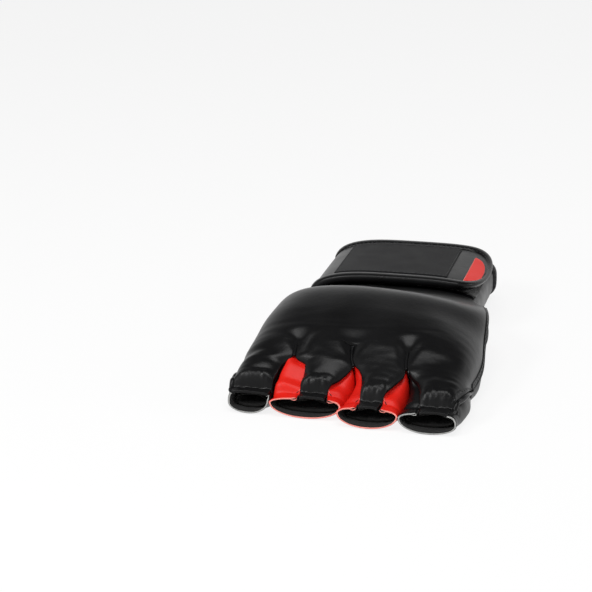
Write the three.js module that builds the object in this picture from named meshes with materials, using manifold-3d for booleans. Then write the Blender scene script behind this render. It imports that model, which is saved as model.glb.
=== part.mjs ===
// Open-palm grappling glove for the right hand, lying palm down on a table. Millimetres, +Z up. The finger
// stalls point along -Y, the thumb is on the +X side and the wrist opening faces +Y.
//
// A moulded two-layer foam pad under a leather cover carries the back of the hand. Four padded finger stalls
// hang on its front edge and flex there. The palm is open between a leather bar and a heel panel. A tubular
// cuff closes the wrist, and a wide bound strap swings over it from the little-finger side, with a rounded
// tip that peels.
import * as THREE from "three";
import { mergeVertices } from "three/addons/utils/BufferGeometryUtils.js";
import Module from "manifold-3d";

const wasm = await Module();
wasm.setup();

// ---- Driving dimensions ----
const GAP = 0.3; // between pieces that are sewn or glued face to face
const LEATHER = 1.4;
const LINING = 0.9;
const FLOOR_LIFT = 0.4; // the stalls hang this far above the table that the palm rests on

const FLEX_Y = -70; // the line across the knuckle pad's front edge where the stalls bend
const FLEX_Z = 10; // height of that bending axis, at the middle of the fingers
const FLEX_DOWN = 40; // degrees a stall curls towards the palm
const FLEX_UP = 0; // degrees it gives the other way, before its pad butts against the back's
const COVER_REAR_Y = 34;
const COVER_EDGE_Z = 10; // height of the cover's lower edge along both sides
const BACK_ROUNDNESS = 3.5; // exponent of the back's arch: 2 is an ellipse, more is squarer

const BACK_COLUMNS = 24; // the back's layers share these columns and rows, so that they stay parallel
const BACK_ROWS = 14;
const FOAM_ROWS = 13; // rows from the front that the soft foam and the lining cover
const KNUCKLE_FOAM_ROWS = 9;
const KNUCKLE_FOAM_COLUMNS = 20;
const KNUCKLE_SHARE = 0.5; // how much of the padding's thickness the firm knuckle layer takes
const SIDE_PADDING = 8; // cover to hand, at the sides
const LINING_EDGE_Z = 12;

const SIDE_TURN_UNDER = 12; // how far the side panels reach under the palm
const SIDE_SPLIT_Y = -16; // cross seam between the side band and the thumb panels
const PALM_BAR_LENGTH = 20;
const PALM_HEEL_FRONT_Y = 4;
const PALM_SEAM = 0.5; // between the heel panel and the cuff's front edge
const PALM_CURVE = 9; // how far the heel panel's corners reach forward of its middle

const THUMB_Y = 5; // middle of the thumb hole along the side
const THUMB_Z = 15;
const THUMB_HALF_LENGTH = 15.5;
const THUMB_HALF_HEIGHT = 6.6;
const THUMB_IN_X = 52; // where the thumb sleeve starts
const THUMB_OUT_X = 59.4; // where its bound lips end

const CUFF_FRONT_Y = 31;
const CUFF_REAR_Y = 114;
const CUFF_HALF_WIDTH = 47.5;
const WRIST_FULLNESS = 3.3; // how far the cover's rear edge stands out from the cuff at each side
const CUFF_HALF_HEIGHT = 14.2;
const CUFF_WALL = 3;
const CUFF_ROUNDNESS = 3.4;
const BINDING = 1.3; // how far the wrist binding stands proud of the cuff
const BINDING_WIDTH = 8;

const LOOP_PILE = 1.5;
const HOOK_PILE = 1.2;
const STRAP_THICKNESS = 3;
const STRAP_FRONT_MARGIN = 5; // how much of the cuff shows in front of the strap
const STRAP_REAR_MARGIN = 3; // and behind it
const STRAP_BINDING_WIDTH = 5.5;
const STRAP_BINDING_THICKNESS = 4.8;
const STRAP_ROOT_ANGLE = 172; // degrees round the cuff from the thumb side, over the top
const STRAP_BREAK_ANGLE = 69; // where the tip bends away from the strap
const STRAP_TIP_ANGLE = 30;
const STRAP_BREAK_GAP = 0.8; // between the strap and its tip, along the band
const PATCH_THICKNESS = 1;
const PATCH_MARGIN = 8.5; // from the strap's long edges to the patch
const PATCH_END_ANGLE = 128;
const ACCENT_THICKNESS = 0.8;

// Each stall: middle and half width at the bending line and at the mouth, the mouth's y, the pad's height.
const STALLS = {
  little: {
    rootX: -47.9, rootHalf: 13.3, mouthX: -54.6, mouthHalf: 11.4,
    mouthY: -98, rootTop: 32.5, red: false,
  },
  ring: {
    rootX: -18.2, rootHalf: 14, mouthX: -22.9, mouthHalf: 17.9,
    mouthY: -99, rootTop: 35, red: true,
  },
  middle: {
    rootX: 12, rootHalf: 14.2, mouthX: 12.4, mouthHalf: 15.5,
    mouthY: -106, rootTop: 35, red: true,
  },
  index: {
    rootX: 43.4, rootHalf: 15, mouthX: 45.8, mouthHalf: 14.7,
    mouthY: -107, rootTop: 32.5, red: false,
  },
};
const MOUTH_HEIGHT = 13;
const MOUTH_CAVITY = 11.3; // height of the lining's top at the mouth
const STALL_FOAM = 11; // thickness of a stall's foam at its root
const STALL_FOAM_END = 0.3; // where the foam ends: 0 at the mouth, 1 at the bending line
const STALL_FOAM_SPREAD = 50; // degrees to each side of the top
const STALL_ROUNDNESS = 2.4;
const TONGUE_AT_MOUTH = 40; // degrees to each side of the top that the stall's padded tongue covers
const TONGUE_AT_ROOT = 74;

// ---- Colours ----
const leatherBlack = new THREE.MeshStandardMaterial({ color: 0x17171a, roughness: 0.38, metalness: 0 });
const leatherRed = new THREE.MeshStandardMaterial({ color: 0xd0150d, roughness: 0.42, metalness: 0 });
const liningBlack = new THREE.MeshStandardMaterial({ color: 0x1c1c1c, roughness: 0.95, metalness: 0 });
const foamGrey = new THREE.MeshStandardMaterial({ color: 0x8d9096, roughness: 0.9, metalness: 0 });
const bindingBlack = new THREE.MeshStandardMaterial({ color: 0x202022, roughness: 0.6, metalness: 0 });
const pileBlack = new THREE.MeshStandardMaterial({ color: 0x101010, roughness: 1, metalness: 0 });
const patchBlack = new THREE.MeshStandardMaterial({ color: 0x151518, roughness: 0.55, metalness: 0 });

const glove = new THREE.Group();
glove.name = "mma_glove";

function add(name, geometry, material) {
  const mesh = new THREE.Mesh(geometry, material);
  mesh.name = name;
  glove.add(mesh);
}

// ---- Small tools ----
const radians = THREE.MathUtils.degToRad;
const mix = THREE.MathUtils.lerp;

// A smooth function through [at, value] knots in rising order, level beyond its ends.
function profile(...knots) {
  const slope = (i) => {
    const a = knots[Math.max(i - 1, 0)];
    const b = knots[Math.min(i + 1, knots.length - 1)];
    return (b[1] - a[1]) / (b[0] - a[0]);
  };
  return (at) => {
    if (at <= knots[0][0]) return knots[0][1];
    const i = knots.findIndex((knot) => knot[0] >= at);
    if (i < 0) return knots[knots.length - 1][1];
    const [x0, y0] = knots[i - 1];
    const [x1, y1] = knots[i];
    const h = x1 - x0;
    const t = (at - x0) / h;
    const rise = (2 * t ** 3 - 3 * t ** 2 + 1) * y0 + (3 * t ** 2 - 2 * t ** 3) * y1;
    return rise + (t ** 3 - 2 * t ** 2 + t) * h * slope(i - 1) + (t ** 3 - t ** 2) * h * slope(i);
  };
}

// A point of the unit superellipse at an angle in degrees from +x.
function rounded(degrees, exponent) {
  const c = Math.cos(radians(degrees));
  const s = Math.sin(radians(degrees));
  return [Math.sign(c) * Math.abs(c) ** (2 / exponent), Math.sign(s) * Math.abs(s) ** (2 / exponent)];
}

// Turns a geometry's faces round if they point inwards.
function facingOut(geometry) {
  const at = geometry.attributes.position;
  const index = geometry.index.array;
  const [a, b, c] = [new THREE.Vector3(), new THREE.Vector3(), new THREE.Vector3()];
  let volume = 0;
  for (let i = 0; i < index.length; i += 3) {
    a.fromBufferAttribute(at, index[i]);
    b.fromBufferAttribute(at, index[i + 1]);
    c.fromBufferAttribute(at, index[i + 2]);
    volume += a.dot(b.cross(c));
  }
  for (let i = 0; volume < 0 && i < index.length; i += 3) [index[i], index[i + 1]] = [index[i + 1], index[i]];
  return geometry;
}

function moveVertices(geometry, place) {
  const at = geometry.attributes.position;
  for (let i = 0; i < at.count; i++) at.setXYZ(i, ...place(at.getX(i), at.getY(i), at.getZ(i)));
  geometry.deleteAttribute("normal");
  geometry.deleteAttribute("uv");
  return facingOut(mergeVertices(geometry, 1e-4));
}

// A closed sheet or block: a segmented box whose u, v and w run from 0 to 1, carried to a point by place.
function slab(place, across, along, deep = 1) {
  const box = new THREE.BoxGeometry(1, 1, 1, across, along, deep);
  return moveVertices(box, (x, y, z) => place(x + 0.5, y + 0.5, z + 0.5));
}

// A closed plug: a cylinder whose angle in degrees, v from 0 to 1 and radius share are carried by place.
function plug(place, around, along) {
  const cylinder = new THREE.CylinderGeometry(1, 1, 1, around, along);
  const degrees = (x, z) => THREE.MathUtils.radToDeg(Math.atan2(z, x));
  return moveVertices(cylinder, (x, y, z) => place(degrees(x, z), y + 0.5, Math.hypot(x, z)));
}

function solidOf(geometry) {
  return new wasm.Manifold(
    new wasm.Mesh({
      numProp: 3,
      vertProperties: new Float32Array(geometry.attributes.position.array),
      triVerts: new Uint32Array(geometry.index.array),
    }),
  );
}

// What is left of a solid once another is cut from it.
function cut(geometry, tool) {
  const mesh = solidOf(geometry).subtract(solidOf(tool)).getMesh();
  const left = new THREE.BufferGeometry();
  left.setAttribute("position", new THREE.BufferAttribute(mesh.vertProperties, 3));
  left.setIndex(new THREE.BufferAttribute(mesh.triVerts, 1));
  return left;
}

// ---- The back of the hand ----
const backTop = profile(
  [FLEX_Y, 35.5],
  [-58, 40.5],
  [-42, 46],
  [-22, 49],
  [-8, 45.5],
  [10, 38.5],
  [24, 33.8],
  [COVER_REAR_Y, 32.3],
);
const backHalfWidth = profile(
  [FLEX_Y, 62.5],
  [-45, 64],
  [-28, 62.5],
  [-8, 61],
  [10, 57.5],
  [24, CUFF_HALF_WIDTH + WRIST_FULLNESS + 2.2],
  [COVER_REAR_Y, CUFF_HALF_WIDTH + WRIST_FULLNESS],
);
const handTop = profile([FLEX_Y, 24], [-28, 28], [0, 29], [24, 27], [COVER_REAR_Y, 26]);
const VALLEYS = [
  (STALLS.little.rootX + STALLS.little.rootHalf + STALLS.ring.rootX - STALLS.ring.rootHalf) / 2,
  (STALLS.ring.rootX + STALLS.ring.rootHalf + STALLS.middle.rootX - STALLS.middle.rootHalf) / 2,
  (STALLS.middle.rootX + STALLS.middle.rootHalf + STALLS.index.rootX - STALLS.index.rootHalf) / 2,
];
const VALLEY_DEPTH = 5;
const VALLEY_WIDTH = 6;
const VALLEY_REAR_Y = -52;

// How far the valleys between the fingers sink the pad.
function valley(x, y) {
  const fade = THREE.MathUtils.smoothstep(VALLEY_REAR_Y - y, 0, VALLEY_REAR_Y - FLEX_Y);
  const across = VALLEYS.reduce((sum, at) => sum + Math.exp(-(((x - at) / VALLEY_WIDTH) ** 2)), 0);
  return VALLEY_DEPTH * fade * across;
}

// The cover's lower edge: low along the little finger, arched over the thumb on that side.
const thumbSideEdge = profile(
  [-60, 11],
  [-45, 13.5],
  [-30, 20],
  [-12, 29],
  [6, 30],
  [20, 25.5],
  [COVER_REAR_Y, 20],
);
const coverEdge = (y, thumbSide) => (thumbSide ? thumbSideEdge(y) : COVER_EDGE_Z);

// A point of the back, depth under the cover's outer face. u runs over the arch from the little-finger side.
function backPoint(u, y, depth) {
  const [c, s] = rounded(180 * (1 - u), BACK_ROUNDNESS);
  const edge = coverEdge(y, u > 0.5);
  const x = (backHalfWidth(y) - depth) * c;
  return [x, y, edge + (backTop(y) - depth - edge) * s - valley(x, y) * s];
}

// A point of the hand's space, outside its lining by out.
function handPoint(u, y, out) {
  const [c, s] = rounded(180 * (1 - u), BACK_ROUNDNESS);
  const edge = LINING_EDGE_Z + 0.46 * (coverEdge(y, u > 0.5) - COVER_EDGE_Z);
  const x = (backHalfWidth(y) - SIDE_PADDING - LEATHER + out) * c;
  return [x, y, edge + (handTop(y) + out - edge) * s];
}

// A point in the padding: share 0 on the hand side, 1 under the cover.
function foamPoint(u, y, share) {
  const inner = handPoint(u, y, LINING + GAP);
  const outer = backPoint(u, y, LEATHER + GAP);
  return inner.map((value, i) => mix(value, outer[i], share));
}

const rowY = (row) => mix(FLEX_Y + GAP, COVER_REAR_Y, row / BACK_ROWS);

// One layer of the back, over a number of columns about the middle and of rows from the front.
function backLayer(point, columns, rows) {
  const margin = (BACK_COLUMNS - columns) / 2;
  return slab((u, v, w) => point((margin + u * columns) / BACK_COLUMNS, rowY(v * rows), w), columns, rows);
}

const backCover = () => backLayer((u, y, w) => backPoint(u, y, LEATHER * w), BACK_COLUMNS, BACK_ROWS);

function knuckleFoam() {
  const place = (u, y, w) => foamPoint(u, y, mix(KNUCKLE_SHARE + 0.06, 1, w));
  return backLayer(place, KNUCKLE_FOAM_COLUMNS, KNUCKLE_FOAM_ROWS);
}

// The soft foam is full thickness behind the knuckle layer and half of it below.
function backFoam() {
  const stepY = rowY(KNUCKLE_FOAM_ROWS + 0.5);
  const place = (u, y, w) => foamPoint(u, y, w * (y < stepY ? KNUCKLE_SHARE : 1));
  return backLayer(place, BACK_COLUMNS, FOAM_ROWS);
}

const backLining = () => backLayer((u, y, w) => handPoint(u, y, LINING * w), BACK_COLUMNS, FOAM_ROWS);

// ---- The sides and the palm ----
// A point of the side, from the cover's lower edge (u = 0) round and under the hand (u = 1). side is -1 or 1.
function sidePoint(side, u, y, depth) {
  const top = coverEdge(y, side > 0) - GAP;
  const angle = radians(90 * u);
  const x = backHalfWidth(y) - SIDE_TURN_UNDER + (SIDE_TURN_UNDER - depth) * Math.cos(angle);
  return [side * x, y, top - (top - depth) * Math.sin(angle)];
}

function sidePanel(side, front, rear, from, to, columns, rows) {
  return slab(
    (u, v, w) => {
      const y = mix(front, rear, v);
      return sidePoint(side, mix(from(y), to(y), u), y, LEATHER * w);
    },
    columns,
    rows,
  );
}

const top = () => 0;
const bottom = () => 1;
const WRIST_PANEL_EDGE = profile([SIDE_SPLIT_Y, 0.82], [2, 0.62], [20, 0.46], [COVER_REAR_Y, 0.12]);
const SEAM = 0.02; // share of the way round the side that the seam between the two thumb panels takes

const bandLittle = () => sidePanel(-1, FLEX_Y + GAP, COVER_REAR_Y, top, bottom, 6, 10);
const bandThumb = () => sidePanel(1, FLEX_Y + GAP, SIDE_SPLIT_Y - GAP, top, bottom, 6, 6);
const wristPanel = () => sidePanel(1, SIDE_SPLIT_Y, COVER_REAR_Y, WRIST_PANEL_EDGE, bottom, 6, 8);

// The panel round the thumb hole.
function thumbPanel() {
  const whole = sidePanel(1, SIDE_SPLIT_Y, COVER_REAR_Y, top, (y) => WRIST_PANEL_EDGE(y) - SEAM, 6, 8);
  return cut(whole, thumbPlug(-GAP, 4));
}

// The palm's flat pieces end beside the strips that turn under the hand.
function palmHalfWidth(y) {
  return backHalfWidth(y) - SIDE_TURN_UNDER - GAP;
}

function palmSheet(frontOf, rear, bottom, thickness, inset) {
  return slab(
    (u, v, w) => {
      const share = mix(-1, 1, u);
      const y = mix(frontOf(share), rear, v);
      return [share * (palmHalfWidth(y) - inset), y, bottom + thickness * w];
    },
    8,
    3,
  );
}

const barFront = () => FLEX_Y + GAP;
const heelFront = (share) => PALM_HEEL_FRONT_Y - PALM_CURVE * share ** 2;

// ---- The thumb sleeve ----
function thumbPlug(shrink, overrun) {
  return plug(
    (degrees, v, r) => {
      const [c, s] = rounded(degrees, 2);
      const x = mix(THUMB_IN_X - overrun, THUMB_OUT_X + overrun, v);
      const y = THUMB_Y + r * c * (THUMB_HALF_LENGTH - shrink);
      return [x, y, THUMB_Z + r * s * (THUMB_HALF_HEIGHT - shrink)];
    },
    20,
    1,
  );
}

const thumbTube = (from, to) => cut(thumbPlug(from, 0), thumbPlug(to, 1));

// ---- The cuff ----
const CUFF_Z = CUFF_HALF_HEIGHT + BINDING;

// A point on the cuff's outline, out from its face.
function cuffPoint(degrees, out) {
  const [c, s] = rounded(degrees, CUFF_ROUNDNESS);
  return [(CUFF_HALF_WIDTH + out) * c, CUFF_Z + (CUFF_HALF_HEIGHT + out) * s];
}

// A band all round the cuff, from one distance off its face to another.
function cuffBand(inner, outer, front, rear, around) {
  const corner = (i, out) => new THREE.Vector2(...cuffPoint((360 * i) / around, out));
  const ring = (out) => Array.from({ length: around }, (_, i) => corner(i, out));
  const shape = new THREE.Shape(ring(outer));
  shape.holes.push(new THREE.Path(ring(inner)));
  const depth = rear - front;
  const band = new THREE.ExtrudeGeometry(shape, { depth, bevelEnabled: false, curveSegments: 1 });
  return band.rotateX(Math.PI / 2).translate(0, rear, 0);
}

// A sheet lying along the cuff between two angles, between two distances off its face.
function cuffSheet(fromAngle, toAngle, front, rear, inner, outer, columns, rows = 1) {
  return slab(
    (u, v, w) => {
      const [x, z] = cuffPoint(mix(fromAngle, toAngle, u), mix(inner, outer, w));
      return [x, mix(front, rear, v), z];
    },
    columns,
    rows,
  );
}

// ---- The strap ----
const STRAP_IN = GAP + LOOP_PILE + GAP + HOOK_PILE + GAP; // strap's inner face, off the cuff
const STRAP_OUT = STRAP_IN + STRAP_THICKNESS;
const BINDING_IN = STRAP_IN - (STRAP_BINDING_THICKNESS - STRAP_THICKNESS) / 2;
const BINDING_OUT = BINDING_IN + STRAP_BINDING_THICKNESS;
const STRAP_FRONT_Y = CUFF_FRONT_Y + STRAP_FRONT_MARGIN;
const STRAP_REAR_Y = CUFF_REAR_Y - STRAP_REAR_MARGIN;
const STRAP_MIDDLE_Y = (STRAP_FRONT_Y + STRAP_REAR_Y) / 2;
const STRAP_HALF_WIDTH = (STRAP_REAR_Y - STRAP_FRONT_Y) / 2;
const BREAK_DEGREES = THREE.MathUtils.radToDeg(STRAP_BREAK_GAP / CUFF_HALF_WIDTH);
const TIP_FROM = STRAP_BREAK_ANGLE - BREAK_DEGREES;
const TIP_ROUNDNESS = 2.1;

// Half the tip's width at an angle round the cuff, drawn in by inset.
function tipHalfWidth(angle, inset) {
  const inDegrees = THREE.MathUtils.radToDeg(inset / CUFF_HALF_WIDTH);
  const share = THREE.MathUtils.clamp((TIP_FROM - angle) / (TIP_FROM - STRAP_TIP_ANGLE - inDegrees), 0, 1);
  return (STRAP_HALF_WIDTH - inset) * (1 - share ** TIP_ROUNDNESS) ** (1 / TIP_ROUNDNESS);
}

// A sheet over the tip, drawn in from its outline, between two distances off the cuff.
function tipSheet(fromAngle, inset, inner, outer) {
  const inDegrees = THREE.MathUtils.radToDeg(inset / CUFF_HALF_WIDTH);
  return slab(
    (u, v, w) => {
      // The columns crowd towards the rounded end.
      const angle = mix(fromAngle, STRAP_TIP_ANGLE + inDegrees + 0.4, Math.sin((u * Math.PI) / 2));
      const [x, z] = cuffPoint(angle, mix(inner, outer, w));
      return [x, STRAP_MIDDLE_Y + mix(-1, 1, v) * tipHalfWidth(angle, inset), z];
    },
    9,
    4,
  );
}

// The edge binding of the tip: one length that runs out along one side, round the end and back.
function tipBinding() {
  return slab(
    (u, v, w) => {
      const turn = mix(-90, 90, u);
      const inset = STRAP_BINDING_WIDTH * v;
      const inDegrees = THREE.MathUtils.radToDeg(inset / CUFF_HALF_WIDTH);
      const [c, s] = rounded(turn, TIP_ROUNDNESS);
      const angle = TIP_FROM - (TIP_FROM - STRAP_TIP_ANGLE - inDegrees) * c;
      const [x, z] = cuffPoint(angle, mix(BINDING_IN, BINDING_OUT, w));
      return [x, STRAP_MIDDLE_Y + (STRAP_HALF_WIDTH - inset) * s, z];
    },
    24,
    1,
  );
}

// ---- A finger stall ----
// along runs from 0 at the mouth to 1 at the bending line.
function stallShape(stall) {
  const top = profile([0, MOUTH_HEIGHT], [0.2, 15], [0.4, 23], [0.62, 28.5], [1, stall.rootTop]);
  const bottom = FLOOR_LIFT;
  const middleX = (along) => mix(stall.mouthX, stall.rootX, along);
  const half = (along) => mix(stall.mouthHalf, stall.rootHalf, along);
  const rootCavity = stall.rootTop - LEATHER - STALL_FOAM - 2 * GAP;
  const cavityTop = profile([0, MOUTH_CAVITY], [0.28, MOUTH_CAVITY + 0.8], [1, rootCavity]);
  const tongue = (along) => mix(TONGUE_AT_MOUTH, TONGUE_AT_ROOT, along);

  // Where the stall's rear face is cut so that it clears the hand at both ends of its flex.
  const rearY = (z) => {
    const lean = z > FLEX_Z ? Math.tan(radians(FLEX_UP)) : Math.tan(radians(FLEX_DOWN));
    return FLEX_Y - GAP - Math.abs(z - FLEX_Z) * lean;
  };
  const place = (x, along, z) => [x, mix(stall.mouthY, rearY(z), along), z];

  // A point of the stall's tube, depth under its outer face, at an angle in degrees from +X.
  const skin = (degrees, along, depth) => {
    const [c, s] = rounded(degrees, STALL_ROUNDNESS);
    const high = (top(along) - bottom) / 2;
    return place(middleX(along) + (half(along) - depth) * c, along, bottom + high + (high - depth) * s);
  };
  return { top, bottom, middleX, half, cavityTop, tongue, place, skin };
}

function addStall(name, stall) {
  const shape = stallShape(stall);
  const rows = 7;

  const tongue = slab(
    (u, v, w) => shape.skin(90 + shape.tongue(v) * mix(1, -1, u), v, LEATHER * w),
    6,
    rows,
  );
  add(`${name}_cover`, tongue, leatherBlack);

  // The sleeve runs from one edge of the tongue, round below the finger, to the other.
  const seam = 3; // degrees between tongue and sleeve
  const sleeve = slab(
    (u, v, w) => {
      const from = 90 + shape.tongue(v) + seam;
      return shape.skin(mix(from, 540 - from, u), v, LEATHER * w);
    },
    12,
    rows,
  );
  add(`${name}_sleeve`, sleeve, stall.red ? leatherRed : leatherBlack);

  const foam = slab(
    (u, v, w) => {
      const along = mix(STALL_FOAM_END, 0.94, v);
      const [x, y, z] = shape.skin(90 + STALL_FOAM_SPREAD * mix(1, -1, u), along, LEATHER + 2 * GAP);
      return [x, y, mix(shape.cavityTop(along) + 2 * GAP, z, w)];
    },
    6,
    6,
  );
  add(`${name}_foam`, foam, foamGrey);

  const liningPlug = (depth, overrun) =>
    plug(
      (degrees, v, r) => {
        const along = mix(-overrun, 0.94 + overrun, v) + 0.01;
        const [c, s] = rounded(degrees, 2);
        const low = shape.bottom + LEATHER + 4 * GAP + depth;
        const high = shape.cavityTop(along) - depth;
        const halfWidth = shape.half(along) - LEATHER - 4 * GAP - depth;
        const z = (low + high) / 2 + (r * s * (high - low)) / 2;
        return shape.place(shape.middleX(along) + r * c * halfWidth, along, z);
      },
      14,
      4,
    );
  add(`${name}_lining`, cut(liningPlug(0, 0), liningPlug(LINING, 0.05)), liningBlack);
}

// ---- Assembly ----
add("back_cover", backCover(), leatherBlack);
add("knuckle_foam", knuckleFoam(), foamGrey);
add("back_foam", backFoam(), foamGrey);
add("back_lining", backLining(), liningBlack);

add("side_band_little", bandLittle(), leatherBlack);
add("side_band_thumb", bandThumb(), leatherBlack);
add("thumb_panel", thumbPanel(), leatherBlack);
add("wrist_panel", wristPanel(), leatherRed);
add("palm_bar", palmSheet(barFront, FLEX_Y + PALM_BAR_LENGTH, 0, LEATHER, 0), leatherBlack);
const palmLining = (frontOf, rear) => palmSheet(frontOf, rear - 1, LEATHER + GAP, LINING, 2);
add("palm_bar_lining", palmLining(barFront, FLEX_Y + PALM_BAR_LENGTH), liningBlack);
const PALM_REAR_Y = CUFF_FRONT_Y - PALM_SEAM;
add("palm_heel", palmSheet(heelFront, PALM_REAR_Y, 0, LEATHER, 0), leatherBlack);
add("palm_heel_lining", palmLining((share) => heelFront(share) + 1, PALM_REAR_Y), liningBlack);

add("thumb_sleeve", thumbTube(0, LEATHER), leatherBlack);
add("thumb_lining", thumbTube(LEATHER + GAP, LEATHER + GAP + LINING), liningBlack);

const bindingFront = CUFF_REAR_Y - BINDING_WIDTH;
add("cuff", cuffBand(-CUFF_WALL, 0, CUFF_FRONT_Y, bindingFront, 40), leatherBlack);
const cuffBinding = cuffBand(-CUFF_WALL - BINDING, BINDING, bindingFront + GAP, CUFF_REAR_Y, 40);
add("cuff_binding", cuffBinding, bindingBlack);
const PILE_FRONT_Y = STRAP_FRONT_Y + STRAP_BINDING_WIDTH + 2;
add("loop_pad", cuffSheet(96, 24, PILE_FRONT_Y, bindingFront - 1, GAP, GAP + LOOP_PILE, 10), pileBlack);

const strapEdge = STRAP_BINDING_WIDTH + GAP;
const strapSheet = (front, rear, inner, outer) =>
  cuffSheet(STRAP_ROOT_ANGLE, STRAP_BREAK_ANGLE, front, rear, inner, outer, 16);
const strapPanel = strapSheet(STRAP_FRONT_Y + strapEdge, STRAP_REAR_Y - strapEdge, STRAP_IN, STRAP_OUT);
add("strap_panel", strapPanel, leatherBlack);
const bindingRail = (front) => strapSheet(front, front + STRAP_BINDING_WIDTH, BINDING_IN, BINDING_OUT);
add("strap_binding_front", bindingRail(STRAP_FRONT_Y), bindingBlack);
add("strap_binding_rear", bindingRail(STRAP_REAR_Y - STRAP_BINDING_WIDTH), bindingBlack);
add(
  "strap_patch",
  cuffSheet(
    PATCH_END_ANGLE,
    STRAP_BREAK_ANGLE + 2,
    STRAP_FRONT_Y + PATCH_MARGIN,
    STRAP_REAR_Y - PATCH_MARGIN,
    STRAP_OUT + GAP,
    STRAP_OUT + GAP + PATCH_THICKNESS,
    10,
  ),
  patchBlack,
);
const HOOK_OUT = STRAP_IN - GAP;
const HOOK_REAR_Y = STRAP_REAR_Y - strapEdge - 0.2;
add(
  "strap_hook_pad",
  cuffSheet(94, STRAP_BREAK_ANGLE + 2, PILE_FRONT_Y, HOOK_REAR_Y, HOOK_OUT - HOOK_PILE, HOOK_OUT, 6),
  pileBlack,
);

add("strap_tip", tipSheet(TIP_FROM, strapEdge, STRAP_IN, STRAP_OUT), leatherBlack);
add("strap_tip_binding", tipBinding(), bindingBlack);
const accentIn = STRAP_OUT + GAP;
add("strap_accent", tipSheet(TIP_FROM - 6, strapEdge + 3, accentIn, accentIn + ACCENT_THICKNESS), leatherRed);
add("tip_hook_pad", tipSheet(TIP_FROM - 2, strapEdge + 3, HOOK_OUT - HOOK_PILE, HOOK_OUT), pileBlack);

for (const [name, stall] of Object.entries(STALLS)) addStall(name, stall);

// The origin goes on the table, under the middle of the glove.
const extent = new THREE.Box3().setFromObject(glove);
const middle = extent.getCenter(new THREE.Vector3());
glove.position.set(-middle.x, -middle.y, -extent.min.z);

export default glove;
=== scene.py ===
"""Grappling glove for the right hand, lying palm down: padded back, four finger stalls, wide wrist strap.

Shapes are worked out in mm on the glove's own drawing lines: x runs across the hand towards the thumb,
y from the finger mouths to the wrist, and z up from the table. spot() takes a point to the frame."""

import math

import bmesh
import bpy
from mathutils import Matrix, Vector, noise


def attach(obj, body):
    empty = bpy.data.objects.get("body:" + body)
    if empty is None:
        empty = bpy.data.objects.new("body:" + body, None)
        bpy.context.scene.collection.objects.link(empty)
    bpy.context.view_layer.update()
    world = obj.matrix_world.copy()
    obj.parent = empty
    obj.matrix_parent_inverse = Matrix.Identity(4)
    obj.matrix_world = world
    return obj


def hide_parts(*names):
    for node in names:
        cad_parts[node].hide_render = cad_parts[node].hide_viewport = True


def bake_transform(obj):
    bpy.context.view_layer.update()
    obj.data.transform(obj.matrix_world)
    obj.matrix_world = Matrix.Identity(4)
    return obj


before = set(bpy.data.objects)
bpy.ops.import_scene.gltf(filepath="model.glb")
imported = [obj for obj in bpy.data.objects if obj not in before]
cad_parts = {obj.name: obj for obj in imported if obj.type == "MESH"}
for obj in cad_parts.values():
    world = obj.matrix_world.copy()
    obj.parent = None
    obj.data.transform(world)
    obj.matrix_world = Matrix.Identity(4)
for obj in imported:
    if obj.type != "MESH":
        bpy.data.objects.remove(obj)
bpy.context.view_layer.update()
scene = bpy.context.scene


# ---- The view, the light and the table ----
def place_camera():
    azimuth, elevation, distance = math.radians(12), math.radians(20), 1.08
    towards = Vector((
        math.sin(azimuth) * math.cos(elevation),
        -math.cos(azimuth) * math.cos(elevation),
        math.sin(elevation),
    ))
    camera = bpy.data.objects.new("camera", bpy.data.cameras.new("camera"))
    camera.data.lens = 115
    camera.data.sensor_width = 36
    camera.data.shift_x = -0.1385
    camera.data.shift_y = 0.0676
    camera.location = Vector((0.0010, -0.0235, 0.020)) + distance * towards
    camera.rotation_mode = "QUATERNION"
    camera.rotation_quaternion = (-towards).to_track_quat("-Z", "Y")
    scene.collection.objects.link(camera)
    scene.camera = camera


def softbox(name, where, aim, size, watts):
    lamp = bpy.data.objects.new(name, bpy.data.lights.new(name, "AREA"))
    lamp.data.shape = "RECTANGLE"
    lamp.data.size, lamp.data.size_y = size
    lamp.data.energy = watts
    lamp.location = where
    lamp.rotation_mode = "QUATERNION"
    lamp.rotation_quaternion = (Vector(aim) - Vector(where)).to_track_quat("-Z", "Y")
    scene.collection.objects.link(lamp)


place_camera()
softbox("overhead_light", (0.1, -0.55, 1.3), (0, 0, 0.02), (1.0, 0.6), 12)
softbox("front_light", (-0.75, -1.0, 1.0), (0, -0.05, 0.01), (0.4, 0.4), 9.5)
softbox("side_light", (1.1, 0.3, 0.45), (0, 0, 0.02), (0.3, 0.4), 2.5)


# ---- Finishes ----
class Signal:
    """One output of a shader node. Arithmetic on it adds Math nodes."""

    def __init__(self, finish, socket):
        self.finish = finish
        self.socket = socket

    def math(self, operation, first, second):
        return self.finish.add("ShaderNodeMath", {"operation": operation}, {0: first, 1: second})

    def __add__(self, other):
        return self.math("ADD", self, other)

    def __sub__(self, other):
        return self.math("SUBTRACT", self, other)

    def __rsub__(self, other):
        return self.math("SUBTRACT", other, self)

    def __mul__(self, other):
        return self.math("MULTIPLY", self, other)

    __radd__ = __add__
    __rmul__ = __mul__


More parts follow.
